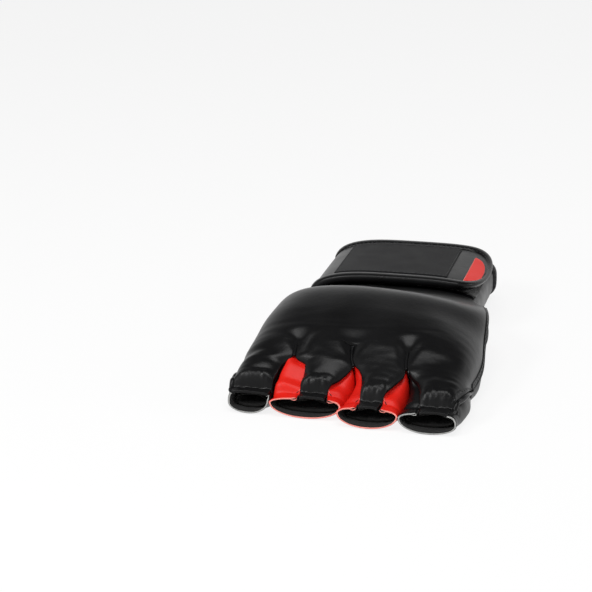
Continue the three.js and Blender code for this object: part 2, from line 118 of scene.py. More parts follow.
class Finish:
    """A material with one Principled shader, and a method that adds any other node to it."""

    def __init__(self, name, **constants):
        self.material = bpy.data.materials.new(name)
        self.material.use_nodes = True
        self.tree = self.material.node_tree
        self.shader = self.tree.nodes["Principled BSDF"]
        for socket, value in constants.items():
            self.shader.inputs[socket.replace("_", " ")].default_value = value

    def add(self, kind, settings=None, inputs=None, output=0):
        node = self.tree.nodes.new(kind)
        for setting, value in (settings or {}).items():
            if setting == "stops":
                ramp = node.color_ramp
                while len(ramp.elements) < len(value):
                    ramp.elements.new(0.5)
                for element, (position, shade) in zip(ramp.elements, value):
                    element.position = position
                    element.color = (shade, shade, shade, 1)
            else:
                setattr(node, setting, value)
        for socket, value in (inputs or {}).items():
            if isinstance(value, Signal):
                self.tree.links.new(value.socket, node.inputs[socket])
            else:
                node.inputs[socket].default_value = value
        return Signal(self, node.outputs[output])

    def feed(self, socket, signal):
        self.tree.links.new(signal.socket, self.shader.inputs[socket])

    def surface(self):
        return self.add("ShaderNodeTexCoord", output="Object")

    def ramp(self, signal, *stops):
        return self.add("ShaderNodeValToRGB", {"stops": stops}, {"Fac": signal})

    def blend(self, share, first, second):
        node = self.add("ShaderNodeMix", {"data_type": "RGBA"}, {}, 2)
        mixer = node.socket.node
        mixer.inputs[6].default_value = (*first, 1)
        mixer.inputs[7].default_value = (*second, 1)
        self.tree.links.new(share.socket, mixer.inputs[0])
        return node

    def bump(self, height, distance, strength=1.0, under=None):
        inputs = {"Height": height, "Distance": distance, "Strength": strength}
        if under:
            inputs["Normal"] = under
        return self.add("ShaderNodeBump", {}, inputs)


def leather(name, colour, worn, roughness, grain=1.0):
    """Smooth coated leather: faint pebbled grain, soft creases and a gloss that varies a little."""
    skin = Finish(name, Specular_IOR_Level=0.17)
    at = skin.surface()
    rounded_cells = {"feature": "SMOOTH_F1"}
    pebble = skin.add("ShaderNodeTexVoronoi", rounded_cells, {"Vector": at, "Scale": 950}, "Distance")
    wrinkled = {"Vector": at, "Scale": 170, "Detail": 6, "Distortion": 1.2}
    crease = skin.add("ShaderNodeTexNoise", {}, wrinkled, 0)
    patchy = skin.add("ShaderNodeTexNoise", {}, {"Vector": at, "Scale": 34, "Detail": 4}, 0)
    skin.feed("Base Color", skin.blend(skin.ramp(patchy, (0.42, 0), (0.68, 1)), colour, worn))
    skin.feed("Roughness", patchy * 0.16 + crease * 0.10 + (roughness - 0.13))
    folds = skin.bump(crease, 0.00022, 0.3)
    skin.feed("Normal", skin.bump(pebble, 0.00010, 0.3 * grain, folds))
    return skin.material


def raw_edge(name, colour, worn):
    """The cut edge of leather, where the pale core shows."""
    edge = Finish(name, Specular_IOR_Level=0.25)
    fibres = edge.add("ShaderNodeTexNoise", {}, {"Vector": edge.surface(), "Scale": 900, "Detail": 5}, 0)
    edge.feed("Base Color", edge.blend(fibres, colour, worn))
    edge.feed("Roughness", fibres * 0.2 + 0.6)
    edge.feed("Normal", edge.bump(fibres, 0.0002, 0.5))
    return edge.material


def fleece(name, colour, worn):
    """Brushed knit lining, a short dull nap."""
    nap = Finish(name, Specular_IOR_Level=0.1, Sheen_Weight=0.1, Sheen_Roughness=0.6)
    at = nap.surface()
    loops = nap.add("ShaderNodeTexVoronoi", {"feature": "F1"}, {"Vector": at, "Scale": 1500}, "Distance")
    matted = {"Vector": at, "Scale": 420, "Detail": 6, "Roughness": 0.7}
    tufts = nap.add("ShaderNodeTexNoise", {}, matted, 0)
    nap.feed("Base Color", nap.blend(nap.ramp(tufts, (0.35, 0), (0.7, 1)), colour, worn))
    nap.feed("Roughness", tufts * 0.1 + 0.88)
    nap.feed("Normal", nap.bump(tufts, 0.0006, 0.8, nap.bump(loops, 0.0003, 0.7)))
    return nap.material


def foam(name, colour, worn):
    """Closed-cell foam: fine pores with a few open ones."""
    cell = Finish(name, Specular_IOR_Level=0.2)
    at = cell.surface()
    pores = cell.add("ShaderNodeTexVoronoi", {"feature": "F1"}, {"Vector": at, "Scale": 1300}, "Distance")
    large = cell.add("ShaderNodeTexNoise", {}, {"Vector": at, "Scale": 260, "Detail": 3}, 0)
    cell.feed("Base Color", cell.blend(cell.ramp(pores, (0.05, 1), (0.45, 0)), colour, worn))
    cell.feed("Roughness", large * 0.1 + 0.82)
    cell.feed("Normal", cell.bump(pores, 0.0004, 0.8))
    return cell.material


def woven(name, colour, worn, roughness, pitch, depth, shine=0.2):
    """Tightly woven tape: fine crossing ribs from two sets of waves."""
    tape = Finish(name, Specular_IOR_Level=shine)
    at = tape.surface()
    ribs = {"wave_type": "BANDS", "bands_direction": "X"}
    warp = tape.add("ShaderNodeTexWave", ribs, {"Vector": at, "Scale": pitch, "Distortion": 0.6}, "Fac")
    picks = {"wave_type": "BANDS", "bands_direction": "Y"}
    weft = tape.add("ShaderNodeTexWave", picks, {"Vector": at, "Scale": pitch, "Distortion": 0.6}, "Fac")
    mottle = tape.add("ShaderNodeTexNoise", {}, {"Vector": at, "Scale": 90, "Detail": 4}, 0)
    weave = warp * weft
    tape.feed("Base Color", tape.blend(weave * 0.6 + mottle * 0.4, colour, worn))
    tape.feed("Roughness", mottle * 0.14 + (roughness - 0.07))
    tape.feed("Normal", tape.bump(weave, depth, 0.7))
    return tape.material


def pile(name, colour, worn, size, depth):
    """Hook or loop pile of a touch fastener."""
    fuzz = Finish(name, Specular_IOR_Level=0.3, Sheen_Weight=0.4)
    at = fuzz.surface()
    tips = fuzz.add("ShaderNodeTexVoronoi", {"feature": "F1"}, {"Vector": at, "Scale": size}, "Distance")
    stray = fuzz.add("ShaderNodeTexNoise", {}, {"Vector": at, "Scale": size * 0.8, "Detail": 5}, 0)
    fuzz.feed("Base Color", fuzz.blend(fuzz.ramp(tips, (0.1, 1), (0.6, 0)), colour, worn))
    fuzz.feed("Roughness", stray * 0.1 + 0.85)
    fuzz.feed("Normal", fuzz.bump(tips + stray * 0.5, depth, 0.9))
    return fuzz.material


def thread(name, colour, worn):
    """Twisted sewing thread."""
    yarn = Finish(name, Specular_IOR_Level=0.4)
    twist = yarn.add("ShaderNodeTexNoise", {}, {"Vector": yarn.surface(), "Scale": 1600, "Detail": 3}, 0)
    yarn.feed("Base Color", yarn.blend(twist, colour, worn))
    yarn.feed("Roughness", twist * 0.15 + 0.45)
    yarn.feed("Normal", yarn.bump(twist, 0.0002, 0.6))
    return yarn.material


BLACK = leather("black_leather", (0.0030, 0.0030, 0.0033), (0.0050, 0.0050, 0.0054), 0.33)
BLACK_SOFT = leather("soft_black_leather", (0.0032, 0.0032, 0.0035), (0.0056, 0.0056, 0.0060), 0.40, 1.2)
EDGING = leather("edging_leather", (0.0035, 0.0035, 0.0038), (0.0060, 0.0060, 0.0064), 0.29, 0.8)
RED = leather("red_leather", (0.72, 0.015, 0.008), (0.64, 0.012, 0.007), 0.40, 0.9)
RED_RAW = raw_edge("red_cut_edge", (0.90, 0.22, 0.17), (0.90, 0.40, 0.35))
BLACK_RAW = raw_edge("black_cut_edge", (0.24, 0.24, 0.235), (0.50, 0.50, 0.485))
FLEECE = fleece("fleece_lining", (0.0035, 0.0033, 0.0031), (0.0085, 0.0080, 0.0074))
FOAM = foam("pad_foam", (0.26, 0.27, 0.29), (0.12, 0.125, 0.135))
TAPE = woven("binding_tape", (0.012, 0.012, 0.013), (0.024, 0.024, 0.026), 0.55, 300, 0.00010)
PATCH = woven("bare_patch", (0.0045, 0.0045, 0.005), (0.009, 0.009, 0.010), 0.52, 420, 0.00006, 0.1)
LOOPS = pile("loop_pile", (0.010, 0.010, 0.010), (0.030, 0.030, 0.030), 1400, 0.0006)
HOOKS = pile("hook_pile", (0.008, 0.008, 0.008), (0.040, 0.040, 0.040), 900, 0.0008)
THREAD = thread("black_thread", (0.020, 0.020, 0.021), (0.055, 0.055, 0.057))


# ---- Making pieces ----
# Face, edges and back of a leather piece, its edges cut raw or turned in.
LEATHER_SHEET = [BLACK, BLACK_RAW, FLEECE]
TURNED_SHEET = [BLACK, BLACK_SOFT, FLEECE]
SIDEWAYS, ALONG = 1.0127, -3.5  # from the glove's own drawing lines to the row's frame, in mm


def mix(first, second, share):
    return first + (second - first) * share


def ease(low, high, value):
    share = min(max((value - low) / (high - low), 0), 1)
    return share * share * (3 - 2 * share)


def profile(*knots):
    """A smooth function through (at, value) knots in rising order, level beyond its ends."""

    def slope(i):
        before, after = knots[max(i - 1, 0)], knots[min(i + 1, len(knots) - 1)]
        return (after[1] - before[1]) / (after[0] - before[0])

    def value(at):
        if at <= knots[0][0]:
            return knots[0][1]
        for i in range(1, len(knots)):
            if at <= knots[i][0]:
                (x0, y0), (x1, y1) = knots[i - 1], knots[i]
                h = x1 - x0
                t = (at - x0) / h
                rise = (2 * t**3 - 3 * t**2 + 1) * y0 + (3 * t**2 - 2 * t**3) * y1
                return rise + (t**3 - 2 * t**2 + t) * h * slope(i - 1) + (t**3 - t**2) * h * slope(i)
        return knots[-1][1]

    return value


def rounded(degrees, exponent):
    """A point of the unit superellipse."""
    c, s = math.cos(math.radians(degrees)), math.sin(math.radians(degrees))
    return math.copysign(abs(c) ** (2 / exponent), c), math.copysign(abs(s) ** (2 / exponent), s)


def spot(x, y, z):
    return Vector((x + SIDEWAYS, y + ALONG, z)) / 1000


def crinkle(x, y, z, size, seed=0.0):
    """Soft noise from -1 to 1, with swells about size mm apart."""
    return noise.noise(Vector((x / size + seed, y / size, z / size)))


def piece_from(name, bm, materials):
    mesh = bpy.data.meshes.new(name)
    bm.to_mesh(mesh)
    bm.free()
    for material in materials:
        mesh.materials.append(material)
    for polygon in mesh.polygons:
        polygon.use_smooth = True
    piece = bpy.data.objects.new(name, mesh)
    scene.collection.objects.link(piece)
    return piece


def settle_modifiers(piece):
    """Makes the piece's live modifiers part of its mesh."""
    graph = bpy.context.evaluated_depsgraph_get()
    graph.update()
    mesh = bpy.data.meshes.new_from_object(piece.evaluated_get(graph), depsgraph=graph)
    mesh.name = piece.name
    piece.modifiers.clear()
    piece.data = mesh
    return piece


def smooth_out(piece):
    finer = piece.modifiers.new("finer", "SUBSURF")
    finer.levels = finer.render_levels = 1
    return settle_modifiers(piece)


def slab(name, columns, rows, place, materials, joined=False, butts=None):
    """A sheet with thickness. place carries across, along and deep, each 0 to 1, to millimetres; deep 0 is
    the outer face. The second material is for the edges and the third for the inner face, where they are
    given. joined closes the sheet into a tube. butts tells, from across and along, the border that meets
    another piece edge to edge and stays square."""
    bm = bmesh.new()
    bm.loops.layers.uv.new("UVMap")
    across = bm.verts.layers.float.new("across")
    along = bm.verts.layers.float.new("along")
    deep = bm.verts.layers.float.new("deep")
    bmesh.ops.create_grid(bm, x_segments=columns, y_segments=rows, size=0.5, calc_uvs=True)
    for vertex in bm.verts:
        vertex[across], vertex[along] = vertex.co.x + 0.5, vertex.co.y + 0.5
        vertex.co = spot(*place(vertex[across], vertex[along], 0))
    if joined:
        bmesh.ops.remove_doubles(bm, verts=bm.verts, dist=1e-6)
    made = bmesh.ops.extrude_face_region(bm, geom=bm.faces[:])
    for vertex in [v for v in made["geom"] if isinstance(v, bmesh.types.BMVert)]:
        vertex[deep] = 1
        vertex.co = spot(*place(vertex[across], vertex[along], 1))
    if butts:
        crease = bm.edges.layers.float.new("crease_edge")
        for line in bm.edges:
            if all(butts(vertex[across], vertex[along]) for vertex in line.verts):
                line[crease] = 1
                line.smooth = False
    edge, inner = min(1, len(materials) - 1), min(2, len(materials) - 1)
    for face in bm.faces:
        depths = {vertex[deep] for vertex in face.verts}
        face.material_index = edge if len(depths) > 1 else (inner if 1 in depths else 0)
    bmesh.ops.recalc_face_normals(bm, faces=bm.faces)
    return smooth_out(piece_from(name, bm, materials))


def roll(name, steps, around, place, materials, ring=False):
    """A rope of any section, with closed ends or as a ring. place carries the share along and the turn in
    degrees to millimetres."""
    bm = bmesh.new()
    bm.loops.layers.uv.new("UVMap")
    bmesh.ops.create_grid(bm, x_segments=around, y_segments=steps, size=0.5, calc_uvs=True)
    for vertex in bm.verts:
        vertex.co = spot(*place(vertex.co.y + 0.5, 360 * (vertex.co.x + 0.5)))
    bmesh.ops.remove_doubles(bm, verts=bm.verts, dist=1e-6)
    if not ring:
        bmesh.ops.holes_fill(bm, edges=[e for e in bm.edges if e.is_boundary], sides=0)
    bmesh.ops.recalc_face_normals(bm, faces=bm.faces)
    return smooth_out(piece_from(name, bm, materials))


def cord_round(path, radius):
    """Places for roll: a round section of a radius, in mm, square to a path of points."""

    def place(share, degrees):
        here, ahead = Vector(path(share)), Vector(path(min(share + 0.01, 1)))
        behind = Vector(path(max(share - 0.01, 0)))
        way = (ahead - behind).normalized()
        side = way.cross(Vector((0, 0, 1)))
        side = side.normalized() if side.length > 1e-3 else Vector((1, 0, 0))
        up = side.cross(way).normalized()
        c, s = math.cos(math.radians(degrees)), math.sin(math.radians(degrees))
        size = radius(share) if callable(radius) else radius
        return tuple(here + size * (c * side + s * up))

    return place


def stitches(name, path, pitch=3.4, length=2.3, width=0.55):
    """A row of thread stitches lying along a path of points in mm."""
    bm = bmesh.new()
    points = [Vector(path(i / 400)) for i in range(401)]
    shape = Matrix.Diagonal((length / 2000, width / 2000, width / 2000, 1))
    travelled, due = 0.0, pitch / 2
    for before, after in zip(points, points[1:]):
        step = after - before
        travelled += step.length
        if travelled >= due and step.length > 1e-6:
            way = step.to_track_quat("X", "Z").to_matrix().to_4x4()
            turned = Matrix.Translation(spot(*after)) @ way @ shape
            bmesh.ops.create_uvsphere(bm, u_segments=6, v_segments=5, radius=1, matrix=turned)
            due += pitch
    return piece_from(name, bm, [THREAD])


def give(piece, nodes=(), body="shell"):
    """Sets a piece's body and hides the nodes it stands for. Given two bodies instead, it only bakes the
    piece's place into its mesh, and nothing makes it bend.
    """
    if isinstance(body, str):
        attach(piece, body)
    else:
        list(body)
        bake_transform(piece)
    if nodes:
        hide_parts(*nodes)
    return piece


def lining(piece, width, length, nodes, body="shell", cut=None):
    """The same for a piece of the lining. width and length, the size in mm that it was cut to, are not
    used, and cut, the area of a cut that isn't a rectangle, is not used."""
    give(piece, nodes, body)
    width / 1000
    length / 1000
    cut and cut / 1e6


# ---- The back of the hand ----
FLEX_Y, WRIST_Y = -70, 34  # where the stalls bend, and the pad's rear rim
LEATHER, LINING = 1.4, 0.9  # thicknesses
ARCH = 3.5  # how square the back's arch is
VALLEYS = (-33.4, -3.2, 27.3)  # x of the dips between the fingers
EDGE_Z = 10  # lower edge of the cover on the little-finger side

back_top = profile(
    (-90, 22.5), (-80, 29.5), (-70, 35.5), (-58, 40.5), (-42, 46),
    (-22, 49), (-8, 45.5), (10, 38.5), (24, 33.8), (34, 32.3),
)
back_half = profile(
    (-90, 61.5), (-70, 62.5), (-45, 64), (-28, 62.5),
    (-8, 61), (10, 57.5), (24, 53), (34, 50.8),
)
hand_top = profile((-70, 24), (-28, 28), (0, 29), (24, 27), (34, 26))
thumb_edge = profile((-60, 11), (-45, 13.5), (-30, 20), (-12, 29), (6, 30), (20, 25.5), (34, 20))


def cover_edge(y, thumb_side):
    """Height of the cover's lower edge."""
    return thumb_edge(y) if thumb_side else EDGE_Z


def fullness(y, thumb_side):
    """How far the padding pushes the side out beyond the cut of the leather."""
    return 0 if thumb_side else 3.2 * math.exp(-(((y + 76) / 18) ** 2))


def valley(x, y):
    """How far the pad sinks between the fingers: a dent that starts sharply and deepens towards them."""
    start = ease(0, 8, -60 - y)
    wide = mix(5.6, 3.0, ease(-64, -80, y))
    sunk = 0
    for at in VALLEYS:
        off = x - at
        sunk += math.exp(-((off / wide) ** 2)) - 0.16 * math.exp(-((off / 1.2) ** 2))
    return 4.6 * start * sunk


def back(u, y, deep=0.0):
    """A point of the back's arch, from the little-finger side (u = 0) over to the thumb side (u = 1)."""
    thumb_side = u > 0.5
    c, s = rounded(180 * (1 - u), ARCH)
    edge = cover_edge(y, thumb_side)
    x = (back_half(y) + fullness(y, thumb_side) - deep) * c
    swell = 0.35 * crinkle(x, y, 0, 34, 2.5) * s
    over_fingers = math.cos((x + 18.5) / 30.4 * 2 * math.pi)
    knuckles = 0.35 * ease(-20, -55, y) * over_fingers * s * (1 - abs(c) ** 6)
    z = edge + (back_top(y) - deep - edge) * s - valley(x, y) * s + swell + knuckles * ease(-70, -60, y)
    if thumb_side:
        x -= 9 * c * s * s * ease(-64, -30, y)
    thumb_slope = 4.2 * ease(-15, 62, x) * s * ease(-66, -30, y) * ease(30, 0, y)
    creases = 0.28 * crinkle(x * 0.4, y * 1.7, 0, 6, 9.0) * s * ease(-40, -56, y)
    return x, y, z - thumb_slope + creases


def back_side(thumb_side, y, height, proud=0.0):
    """A point of the cover's side, a height above its lower edge."""
    rise = back_top(y) - cover_edge(y, thumb_side)
    angle = math.degrees(math.asin(min((height / rise) ** (ARCH / 2), 1)))
    u = 1 - angle / 180 if thumb_side else angle / 180
    return back(u, y, -proud)


def spread(v, share_at_front=0.25, front=-54.0):
    """Rows along the back, closer together over the front of the pad."""
    if v < share_at_front:
        return mix(FLEX_Y, front, v / share_at_front)
    return mix(front, WRIST_Y, (v - share_at_front) / (1 - share_at_front))


def make_back():
    def cover_place(u, v, w):
        turned_hem = 1 + 0.55 * ease(0.95, 0.99, v)
        return back(u, spread(v), LEATHER * w * turned_hem)

    cover = slab("back_pad_cover", 96, 56, cover_place, TURNED_SHEET, butts=lambda u, v: v < 1e-4)
    give(cover, ["back_cover"])

    def padding(u, y, share):
        inner, outer = hand(u, y, LINING + 0.3), back(u, y, LEATHER + 0.4)
        return tuple(mix(a, b, share) for a, b in zip(inner, outer))

    def knuckle_place(u, v, w):
        return padding(mix(0.085, 0.915, u), mix(-69.4, -3.2, v), mix(0.99, 0.57, w))

    def soft_place(u, v, w):
        y = mix(-69.4, 26.2, v)
        top = mix(0.5, 0.99, ease(-2.5, 1.5, y))
        return padding(mix(0.005, 0.995, u), y, mix(top, 0, w))

    firm = give(slab("knuckle_padding", 36, 24, knuckle_place, [FOAM]), ["knuckle_foam"])
    soft = give(slab("back_padding", 40, 30, soft_place, [FOAM]), ["back_foam"])

    def lining_place(u, v, w):
        return hand(u, mix(-69.6, 27, v), LINING * (1 - w))

    lining(slab("back_hand_lining", 48, 36, lining_place, [FLEECE]), 118, 96.6, ["back_lining"])


def hand(u, y, out):
    """A point of the arch that the back of the hand fills, out from its skin."""
    c, s = rounded(180 * (1 - u), ARCH)
    edge = 12 + 0.46 * (cover_edge(y, u > 0.5) - EDGE_Z)
    x = (back_half(y) - 8 - LEATHER + out) * c
    return x, y, edge + (hand_top(y) + out - edge) * s


# ---- Sides, palm and thumb ----
TURN_UNDER = 12  # how far the side bands turn in under the hand
SIDE_FRONT_Y, SPLIT_Y = -69.7, -16  # front of the side bands, and the seam in front of the thumb hole
THUMB_Y, THUMB_Z, THUMB_HALF_LENGTH, THUMB_HALF_HEIGHT = 5, 15, 15.5, 6.6
wrist_panel_edge = profile((-16, 0.82), (2, 0.62), (20, 0.46), (34, 0.34))


def side(which, u, y, deep):
    """A point of a side, from the cover's edge (u = 0) down and in under the hand (u = 1). which is 1 on
    the thumb side and -1 on the other."""
    top = cover_edge(y, which > 0) - 0.3
    angle = math.radians(90 * u)
    bulge = fullness(y, which > 0) * math.cos(angle)
    if which > 0:
        bulge = 2.6 * math.exp(-(((y + 56) / 15) ** 2)) * math.sin(2 * angle) ** 2
    x = back_half(y) - TURN_UNDER + (TURN_UNDER - deep) * math.cos(angle) + bulge
    return which * x, y, top - (top - deep) * math.sin(angle)


def side_at(which, y, z, proud=0.0):
    """The side's point at a height above the table."""
    top = cover_edge(y, which > 0) - 0.3
    u = math.degrees(math.asin(min(max(1 - z / top, 0), 1))) / 90
    return side(which, u, y, -proud)


def side_panel(name, which, front, rear, start, end, materials, columns, rows):
    def place(u, v, w):
        y = mix(front, rear, v)
        x, y, z = side(which, mix(start(y), end(y), u), y, LEATHER * w)
        ripple = 0.35 * crinkle(x, y, z, 9, 7.0) * math.sin(math.pi * u) * math.sin(math.pi * v)
        return x + which * ripple, y, z

    return slab(name, columns, rows, place, materials)


def palm_sheet(name, front_of, rear, bottom, thickness, inset, materials):
    def place(u, v, w):
        share = mix(-1, 1, u)
        y = mix(front_of(share), rear, v)
        off_table = math.sin(math.pi * u) * math.sin(math.pi * v)
        lift = 0.5 * (0.5 + 0.5 * crinkle(share * 40, y, 3, 16)) * off_table
        half = back_half(y) - TURN_UNDER - 0.3 - inset
        return share * half, y, bottom + lift + thickness * w

    return slab(name, 30, 14, place, materials)


def make_sides():
    def top(y):
        return 0

    def bottom(y):
        return 1

    band = side_panel("little_side_panel", -1, SIDE_FRONT_Y, WRIST_Y, top, bottom, TURNED_SHEET, 16, 44)
    give(band, ["side_band_little"])
    band = side_panel("thumb_side_panel", 1, SIDE_FRONT_Y, SPLIT_Y - 0.3, top, bottom, TURNED_SHEET, 16, 26)
    give(band, ["side_band_thumb"])
    red_sheet = [RED, RED_RAW, FLEECE]
    red = side_panel("wrist_side_panel", 1, SPLIT_Y, WRIST_Y, wrist_panel_edge, bottom, red_sheet, 12, 26)
    give(red, ["wrist_panel"])

    def round_hole(u, v, w):
        turn = 2 * math.pi * u
        c, s = math.cos(turn), math.sin(turn)
        reach = max(abs(c), abs(s))
        rim_y, rim_z = THUMB_Y + THUMB_HALF_LENGTH * c, THUMB_Z + THUMB_HALF_HEIGHT * s
        edge_y = mix(SPLIT_Y, WRIST_Y, (c / reach + 1) / 2)
        high = cover_edge(edge_y, True) - 0.35
        low = high * (1 - math.sin(math.radians(90 * (wrist_panel_edge(edge_y) - 0.02))))
        edge_z = mix(low, high, (s / reach + 1) / 2)
        return side_at(1, mix(rim_y, edge_y, v), mix(rim_z, edge_z, v), -LEATHER * w)

    panel = slab("thumb_hole_panel", 64, 9, round_hole, LEATHER_SHEET, joined=True)
    give(panel, ["thumb_panel"])

    def lip_path(share):
        turn = 2 * math.pi * share
        y, z = THUMB_Y + 14.6 * math.cos(turn), THUMB_Z + 5.4 * math.sin(turn)
        x = side_at(1, y, z)[0]
        return x - 0.2, y, z

    def lip_place(share, degrees):
        x, y, z = lip_path(share)
        fat = 1.5 + 1.1 * abs(math.sin(2 * math.pi * share)) ** 0.7
        c, s = math.cos(math.radians(degrees)), math.sin(math.radians(degrees))
        turn = 2 * math.pi * share
        outward = Vector((0, math.cos(turn) * 0.42, math.sin(turn))).normalized()
        return x + 0.8 * fat * s, y + fat * c * outward.y, z + fat * c * outward.z

    lips = roll("thumb_opening_lips", 72, 12, lip_place, [BLACK_SOFT], ring=True)
    give(lips, ["thumb_sleeve"])

    def funnel(u, v, w):
        c, s = math.cos(2 * math.pi * u), math.sin(2 * math.pi * u)
        shrink = 1.6 + 0.9 * w + 0.8 * v
        y, z = THUMB_Y + (THUMB_HALF_LENGTH - shrink) * c, THUMB_Z + (THUMB_HALF_HEIGHT - shrink) * s
        return mix(57.2, 51.2, v), y, z

    throat = slab("thumb_opening_lining", 48, 8, funnel, [FLEECE], joined=True)
    lining(throat, 59.5, 10, ["thumb_lining"], cut=360)

    def heel_front(share):
        return 4 - 9 * share**2

    bar = palm_sheet("palm_bar_leather", lambda s: SIDE_FRONT_Y, -50, 0, LEATHER, 0, LEATHER_SHEET)
    give(bar, ["palm_bar"])
    cloth = palm_sheet("palm_bar_cloth", lambda s: -69.4, -51, 1.7, LINING, 2, [FLEECE])
    lining(cloth, 96, 18.4, ["palm_bar_lining"])
    heel = palm_sheet("palm_heel_leather", heel_front, 30.5, 0, LEATHER, 0, LEATHER_SHEET)
    give(heel, ["palm_heel"])
    cloth = palm_sheet("palm_heel_cloth", lambda s: heel_front(s) + 1, 29.5, 1.7, LINING, 2, [FLEECE])
    lining(cloth, 91, 32.7, ["palm_heel_lining"], cut=2240)


def make_side_seams():
    for thumb_side, name in ((True, "thumb"), (False, "little")):
        which = 1 if thumb_side else -1

        def flange(u, v, w, thumb_side=thumb_side):
            y = mix(-69.8, 32, v)
            return back_side(thumb_side, y, mix(0.15, 3.6, u), 0.55 - 0.9 * w)

        give(slab(f"{name}_seam_band", 4, 60, flange, [BLACK_SOFT]))

        def groove(share, thumb_side=thumb_side, which=which):
            y = mix(-69.6, 33, share)
            x, y, z = side_at(which, y, cover_edge(y, thumb_side) - 0.55, 0.1)
            return x, y, z

        def sewn(share, thumb_side=thumb_side):
            return back_side(thumb_side, mix(-68, 30, share), 2.0, 0.65)

        give(roll(f"{name}_side_piping", 70, 8, cord_round(groove, 1.0), [BLACK_SOFT]))
        give(stitches(f"{name}_seam_stitches", sewn))

    def red_top(share):
        y = mix(-15.0, 33.5, share)
        x, y, z = side(1, wrist_panel_edge(y) - 0.01, y, -0.3)
        return x, y, max(z, 1.1)

    give(roll("wrist_panel_binding", 50, 8, cord_round(red_top, 1.0), [TAPE]))

    def split(share):
        x, y, z = side(1, mix(0.02, 0.98, share), -16.15, -0.15)
        return x, y, max(z, 0.75)

    give(roll("thumb_cross_seam", 24, 8, cord_round(split, 0.7), [BLACK_SOFT]))


# ---- Finger stalls ----
FLOOR_LIFT = 0.4  # height of a stall's underside
# feet: x of the sleeve's lower corners, left and right at the root, then left and right at the mouth.
# bow: how far the line of each corner bows. left, right: x of the tongue's edges, from the mouth (0) to the
# bending line (1). crotch: y where the stall parts from its neighbours. outer: the side that no neighbour
# stands by. upright: 1 where the left gusset stands straight. curl: how far the mouth's corners roll over.
STALLS = {
    "little": {
        "feet": (-63.5, -33.6, -65.8, -42.2), "bow": (0, -3.5),
        "mouth_y": -98, "shoulder": 26.2, "height": 32.2, "crotch": -79.5,
        "left": profile((0, -64.8), (0.3, -65.4), (0.6, -66.0), (0.8, -65.8), (1, -65.2)),
        "right": profile(
            (0, -43.6), (0.3, -42.2), (0.58, -40.6), (0.645, -39.4), (0.71, -36), (0.8, -34), (1, -33.5),
        ),
        "outer": -1, "upright": 0, "curl": 0.2, "lining_cut": (52.7, 25.9), "red": False,
    },
    "ring": {
        "feet": (-33.2, -3.4, -41.8, -4.3), "bow": (-3.5, 4.2),
        "mouth_y": -99, "shoulder": 28.2, "height": 35, "crotch": -79.5,
        "left": profile((0, -26.6), (0.25, -27.4), (0.62, -27.7), (0.69, -32.6), (0.76, -34.0), (1, -33.3)),
        "right": profile(
            (0, -12), (0.2, -11.6), (0.4, -6.6), (0.52, -2.6), (0.6, -0.8), (0.74, -2.0), (1, -3.3),
        ),
        "outer": 0, "upright": 1, "curl": 1, "lining_cut": (77, 26.8), "red": True,
    },
    "middle": {
        "feet": (-3.0, 27.1, -3.9, 29.2), "bow": (4.2, 3.0),
        "mouth_y": -106, "shoulder": 26.4, "height": 35, "crotch": -83,
        "left": profile(
            (0, 7.4), (0.3, 6.6), (0.52, 5.2), (0.62, 3.6), (0.70, 0.4), (0.78, -2.0), (1, -3.1),
        ),
        "right": profile(
            (0, 18.2), (0.2, 19.8), (0.42, 23.8), (0.56, 27.4), (0.64, 28.6), (0.76, 28.0), (1, 27.2),
        ),
        "outer": 0, "upright": 0, "curl": 1, "lining_cut": (62.5, 32.9), "red": True,
    },
    "index": {
        "feet": (27.5, 62, 29.6, 60.9), "bow": (3.0, 1.8),
        "mouth_y": -107, "shoulder": 25.0, "height": 32.2, "crotch": -83.5,
        "left": profile((0, 40.4), (0.3, 38.8), (0.56, 35.4), (0.66, 30.6), (0.76, 28.4), (1, 27.4)),
        "right": profile((0, 55.9), (0.3, 59.6), (0.6, 63.0), (0.8, 63.5), (1, 62.5)),
        "outer": 1, "upright": 0, "curl": 0.9, "lining_cut": (63.7, 33.7), "red": False,
    },
}

valley_floor = profile((-84, 23.6), (-80, 25.4), (-76, 27.8), (-70, 30.5))
foot_bow = profile((-106, 0), (-96, 0.45), (-84, 1), (-78, 0.75), (-71, 0))


def arch_share(x):
    """How far over the back's arch, 0 to 1, a place across its front edge lies."""
    c = min(abs(x) / 62.5, 1)
    degrees = math.degrees(math.acos(c ** (ARCH / 2)))
    return 1 - degrees / 180 if x > 0 else degrees / 180


